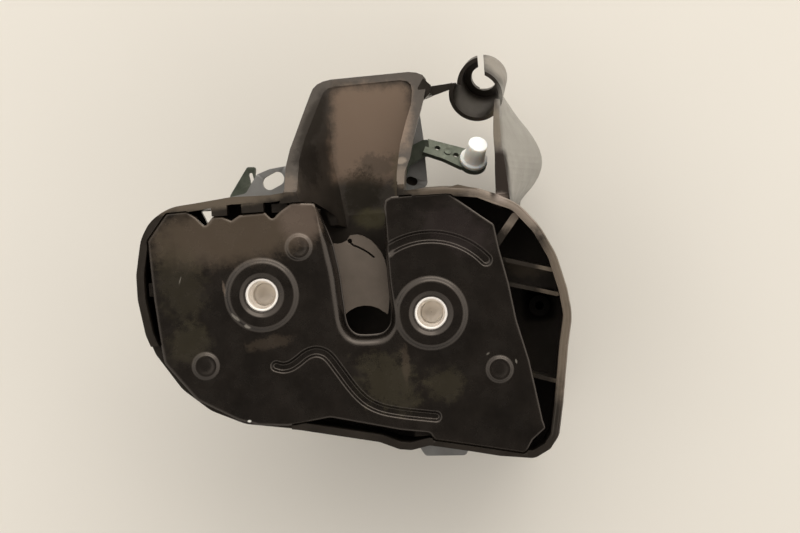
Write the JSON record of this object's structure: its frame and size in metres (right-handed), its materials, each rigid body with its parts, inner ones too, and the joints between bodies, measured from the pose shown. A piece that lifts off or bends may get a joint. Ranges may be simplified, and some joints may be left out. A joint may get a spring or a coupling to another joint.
{
  "type": "car door lock",
  "caption": "Car door lock with slotted face plate, striker throat, rotating fork and pawl, release levers, rod clip, cable holder and lock actuator.",
  "frame": {"origin": "axis of the fork's threaded bush, at the outer face of the face plate", "axes": "+Z out of the face plate, +Y along the striker slot towards its open mouth, +X from the fork's bush towards the pawl's bush"},
  "size_m": [0.1291, 0.1265, 0.0746],
  "materials": {
    "painted_steel": "semi-gloss dark brown-black coating",
    "black_plastic": "moulded, satin, brownish sheen",
    "zinc_steel": "zinc-plated sheet",
    "bright_zinc": "bright zinc",
    "dark_steel": "hardened, dark",
    "fork_plastic": "moulded jacket, matte",
    "spring_steel": "drawn wire",
    "rubber": "moulded buffer",
    "switch_plastic": "small switch case",
    "grey_plastic": "moulded",
    "green_zinc": "olive chromated zinc",
    "white_plastic": "natural white, moulded",
    "motor_can": "drawn steel can",
    "contact_brass": "tinned contacts"
  },
  "bodies": {
    "case": {"face_plate": "painted_steel", "latch_housing": "black_plastic", "back_plate": "zinc_steel", "fork_bush": "bright_zinc", "pawl_bush": "bright_zinc", "fork_spring": "spring_steel", "fork_buffer": "rubber", "latch_switch": "switch_plastic", "pawl_spring": "spring_steel", "release_pin": "bright_zinc", "release_spring": "spring_steel", "inside_pin": "bright_zinc", "lever_bracket": "zinc_steel", "rear_housing": "black_plastic", "cable_holder": "black_plastic", "rear_cover": "black_plastic", "cover_screws": "bright_zinc", "motor": "motor_can", "lock_switch": "switch_plastic", "connector_pins": "contact_brass"},
    "fork": {"fork_core": "dark_steel", "fork_jacket": "fork_plastic"},
    "pawl": {"pawl": "dark_steel", "pawl_pin": "bright_zinc", "pawl_jacket": "grey_plastic"},
    "release_lever": {"release_lever": "green_zinc"},
    "inside_lever": {"inside_lever": "green_zinc"},
    "rod_clip": {"rod_clip": "white_plastic"},
    "lock_segment": {"lock_segment": "grey_plastic"},
    "motor_pinion": {"motor_pinion": "grey_plastic"},
    "lock_slider": {"lock_slider": "grey_plastic"}
  },
  "joints": [
    {"name": "fork_turn", "type": "hinge", "parent": "case", "child": "fork", "pos_m": [0, 0, 0], "axis": [0, 0, 1], "range_deg": [-55, 0], "stiffness_Nm_per_rad": 0.01, "springref_deg": 28.65, "deforming": ["fork_spring"]},
    {"name": "pawl_turn", "type": "hinge", "parent": "case", "child": "pawl", "pos_m": [0.0502, -0.0092, 0], "axis": [0, 0, 1], "range_deg": [-10, 6], "stiffness_Nm_per_rad": 0.02, "deforming": ["pawl_spring"]},
    {"name": "release_turn", "type": "hinge", "parent": "case", "child": "release_lever", "pos_m": [-0.012, -0.014, 0], "axis": [0, 0, 1], "range_deg": [-7, 0], "stiffness_Nm_per_rad": 0.05, "springref_deg": 9.74, "deforming": ["release_spring"]},
    {"name": "inside_turn", "type": "hinge", "parent": "case", "child": "inside_lever", "pos_m": [0.04, 0.036, 0], "axis": [0, 0, 1], "range_deg": [-8, 14]},
    {"name": "clip_turn", "type": "hinge", "parent": "inside_lever", "child": "rod_clip", "pos_m": [0.0656, 0.0356, -0.0272], "axis": [0.2539, 0.6191, 0.7431], "range_deg": [-90, 90]},
    {"name": "segment_turn", "type": "hinge", "parent": "case", "child": "lock_segment", "pos_m": [0.054, -0.034, 0], "axis": [0, 0, 1], "range_deg": [-13, 13]},
    {"name": "pinion_turn", "type": "hinge", "parent": "case", "child": "motor_pinion", "pos_m": [0.07, -0.034, 0], "axis": [0, 0, 1], "range_deg": [-28.6, 28.6]},
    {"name": "slider_move", "type": "slide", "parent": "case", "child": "lock_slider", "axis": [0, 1, 0], "range_m": [-0.0043, 0.0043]}
  ],
  "couplings": [
    {"joint": "segment_turn", "follows": "slider_move", "rad_per_m": -52.632},
    {"joint": "pinion_turn", "follows": "slider_move", "rad_per_m": 115.79}
  ]
}
